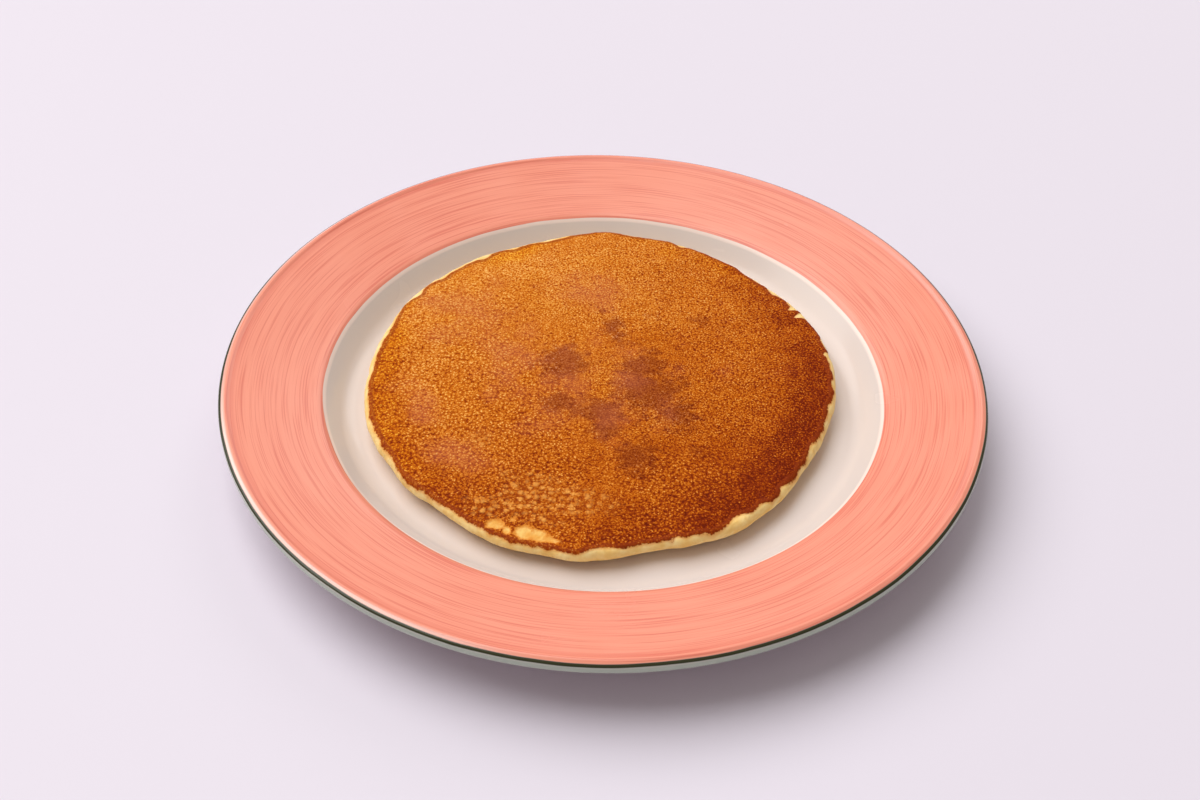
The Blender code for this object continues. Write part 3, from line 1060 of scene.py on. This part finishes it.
# %% Crust colours
BROWNING = (
    (0.00, shade(250, 194, 112)),
    (0.25, shade(226, 142, 50)),
    (0.50, shade(193, 97, 6)),
    (0.75, shade(142, 50, 2)),
    (1.00, shade(104, 26, 2)),
)
SCORCHED = (0.62, 0.52, 1.3, 1.0)  # multiplies the crust's own colour
ROSY = shade(192, 104, 74)
GOLDEN = (1.0, 0.94, 0.20, 1.0)
BORDER = shade(146, 58, 20)
PEBBLE = shade(246, 172, 82)
NET = shade(158, 72, 14)
DOUGH = shade(255, 228, 162)
DOUGH_DEEP = shade(246, 204, 124)
TOASTED = shade(224, 140, 52)
OPENED = shade(250, 206, 122)
OPENED_DEEP = shade(238, 172, 82)
SECOND_SIDE = shade(196, 122, 52)

# %% Bubbles of the crust
FINE_BUBBLE = 0.85 * MM
COARSE_BUBBLE = 1.20 * MM
BUBBLE_BEND = (2 * MM, 0.7 * MM)  # size of the noise that bends a pattern, and how far it moves it
PEBBLE_SIZE = 2.5 * MM
PEBBLE_BEND = (4 * MM, 2.0 * MM)


def bent_place(crust, size, amount):
    """The place on the piece, moved by a smooth noise, so that cells aren't all alike."""
    noise = crust.add("ShaderNodeTexNoise", {"Vector": crust.place, "Scale": 1 / size, "Detail": 1.0}, 1)
    moved = crust.add("ShaderNodeVectorMath", {0: noise, 1: (amount,) * 3}, operation="MULTIPLY")
    return crust.add("ShaderNodeVectorMath", {0: crust.place, 1: moved}, operation="ADD")


def crust_grain(crust):
    """Distance in small cells, 0 in a bubble's floor and about 0.7 on its wall."""
    place = bent_place(crust, *BUBBLE_BEND)
    fine, coarse = crust.cells(FINE_BUBBLE, place), crust.cells(COARSE_BUBBLE, place)
    inputs = {0: crust.mark("coarse"), 2: fine, 3: coarse}
    return crust.add("ShaderNodeMix", inputs, 0, data_type="FLOAT")


def pebbles(crust):
    """Two masks: the pebbles themselves, and the net of brown between them."""
    place = bent_place(crust, *PEBBLE_BEND)
    distance = crust.cells(PEBBLE_SIZE, place)
    number = crust.add("ShaderNodeSeparateColor", {0: crust.cells(PEBBLE_SIZE, place, "Color")})
    cool = crust.ease(0.15, 0.85, crust.mark("cool"))
    paleness = crust.ease(0.0, 1.0, number, 0.25, 1.0)
    pebble = crust.times(crust.ease(0.55, 0.10, distance), crust.times(cool, paleness))
    return pebble, crust.times(crust.ease(0.40, 0.62, distance), cool)


# %% [markdown]
# The brown of a spot starts from the tone of its place, on a scale from golden orange to dark red brown.
# Bubble walls and specks swing it darker, and the floors of some bubbles get painted glints, lighter in
# colour as if they shone. Scorches multiply the colour, so that the grain shows through. A dull rosy tint
# and a golden one follow.

# %% How brown each spot is
SPECK_SIZE = 0.55 * MM
MOTTLE_SIZE = 3.0 * MM
GLINT_SIZE = 1.3 * MM
HUE_SIZE = 13 * MM
WALL_SWING = 0.32  # the swings are steps on the scale of browning
SPECK_SWING = 0.42
MOTTLE_SWING = 0.10
GLINT_SWING = 0.22
MEAN_GRAIN = 0.36
MEAN_GLINT = 0.08


def tone_swing(crust, grain, speck, scorch):
    """How much browner each spot is than its place: walls, specks and mottles, less the painted glints."""
    # Painted glints: some bubble floors are lighter in colour, standing in for tiny highlights on the
    # greasy crust.
    shiny = crust.ease(0.42, 0.62, crust.cloud(GLINT_SIZE))
    glints = crust.times(crust.ease(0.30, 0.06, grain), shiny)
    glints = crust.times(crust.minus(glints, MEAN_GLINT), GLINT_SWING)
    walls = crust.times(crust.minus(grain, MEAN_GRAIN), WALL_SWING)
    mottle = crust.swing(crust.cloud(MOTTLE_SIZE, 2.0), MOTTLE_SWING)
    swing = crust.plus(walls, crust.plus(crust.swing(speck, SPECK_SWING), mottle))
    swing = crust.minus(swing, glints)
    return crust.times(swing, crust.ease(0.2, 1.0, scorch, 1.45, 1.15))


def browned(crust, grain, speck):
    """The crust's brown, scorched, rosy and golden by place."""
    hue = crust.cloud(HUE_SIZE, 3.0)
    scorch = crust.plus(crust.mark("scorch"), crust.swing(crust.cloud(MOTTLE_SIZE, 4.0), 0.65))
    rosy = crust.plus(crust.mark("rosy"), crust.swing(hue, 0.7))
    gold = crust.minus(crust.mark("gold"), crust.swing(hue, 0.8))
    tone = crust.plus(crust.mark("tone"), tone_swing(crust, grain, speck, scorch))
    brown = crust.ramp(tone, BROWNING)
    brown = crust.mix(crust.ease(0.20, 0.80, scorch, end=0.95), brown, SCORCHED, "MULTIPLY")
    brown = crust.mix(crust.ease(0.15, 0.9, rosy, end=0.32), brown, ROSY)
    return crust.mix(crust.ease(0.0, 0.8, gold, end=0.85), brown, GOLDEN, "MULTIPLY")


# %% [markdown]
# Crust, the dough beyond its edge and the bare patches inside it lie side by side. One fine noise frays
# the borders between them. Pebbles and a dark border lie over the brown, and the underside has spots of a
# paler brown.

# %% Crust
DOUGH_SIZE = 5 * MM  # clouds in the dough's colour
PATCH_SIZE = 3 * MM
SPOT_SIZE = 11 * MM
FRAY_SIZE = 0.9 * MM
FRAY = 0.6  # millimetres to either side
BORDER_RING = (-0.2, 1.7, 0.4)  # from, to and softness in millimetres from the crust's edge
OVERLAYS = ((NET, 0.4), (PEBBLE, 0.8), (BORDER, 0.6))  # colour and share
CRUST_ROUGHNESS = (0.40, 0.62)
PEBBLE_DEPTH = 0.20 * MM
GRAIN_DEPTH = 0.13 * MM
SPECK_DEPTH = 0.08 * MM


def pale_dough(crust, from_edge):
    """Cream and yellow, toasted just beyond the crust's edge."""
    dough = crust.mix(crust.ease(0.3, 0.7, crust.cloud(DOUGH_SIZE, 3.0)), DOUGH, DOUGH_DEEP)
    return crust.mix(crust.ease(-0.8, 0.0, from_edge, end=0.6), dough, TOASTED)


def open_patch(crust, bare):
    """Bare dough inside the crust, with a toasted rim."""
    pale = crust.mix(crust.ease(0.3, 0.7, crust.cloud(PATCH_SIZE, 2.0)), OPENED, OPENED_DEEP)
    return crust.mix(crust.ease(0.38, 0.80, bare), TOASTED, pale)


def crust_material():
    """Browned grain over pale dough, split along a scalloped line."""
    crust = Finish("griddled_crust")
    from_edge = crust.mark("edge")
    grain = crust_grain(crust)
    speck = crust.cloud(SPECK_SIZE, 2.0)
    brown = browned(crust, grain, speck)
    pebble, net = pebbles(crust)
    border = crust.window(from_edge, *BORDER_RING)
    for mask, (tint, share) in zip((net, pebble, border), OVERLAYS):
        brown = crust.mix(crust.times(mask, share), brown, tint)
    fray = crust.swing(crust.cloud(FRAY_SIZE, 2.0), FRAY)
    bare = crust.plus(crust.mark("bare"), crust.times(fray, 0.35))
    inside = crust.mix(crust.ease(0.28, 0.44, bare), brown, open_patch(crust, bare))
    crusted = crust.ease(-0.2, 0.2, crust.plus(from_edge, fray))
    colour = crust.mix(crusted, pale_dough(crust, from_edge), inside)
    spots = crust.ease(0.42, 0.6, crust.cloud(SPOT_SIZE, 3.0))
    colour = crust.mix(crust.times(spots, crust.mark("under")), colour, SECOND_SIDE)
    roughness = crust.ease(0.2, 0.9, speck, *CRUST_ROUGHNESS)
    lumps = crust.bump(pebble, PEBBLE_DEPTH)
    relief = crust.bump(crust.minus(1.0, grain), GRAIN_DEPTH, lumps)
    relief = crust.bump(speck, SPECK_DEPTH, relief)
    return crust.finish(Base_Color=colour, Roughness=roughness, Normal=relief, Specular_IOR_Level=0.03)


pancake.data.materials.append(crust_material())
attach(pancake, "root")
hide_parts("pancake")
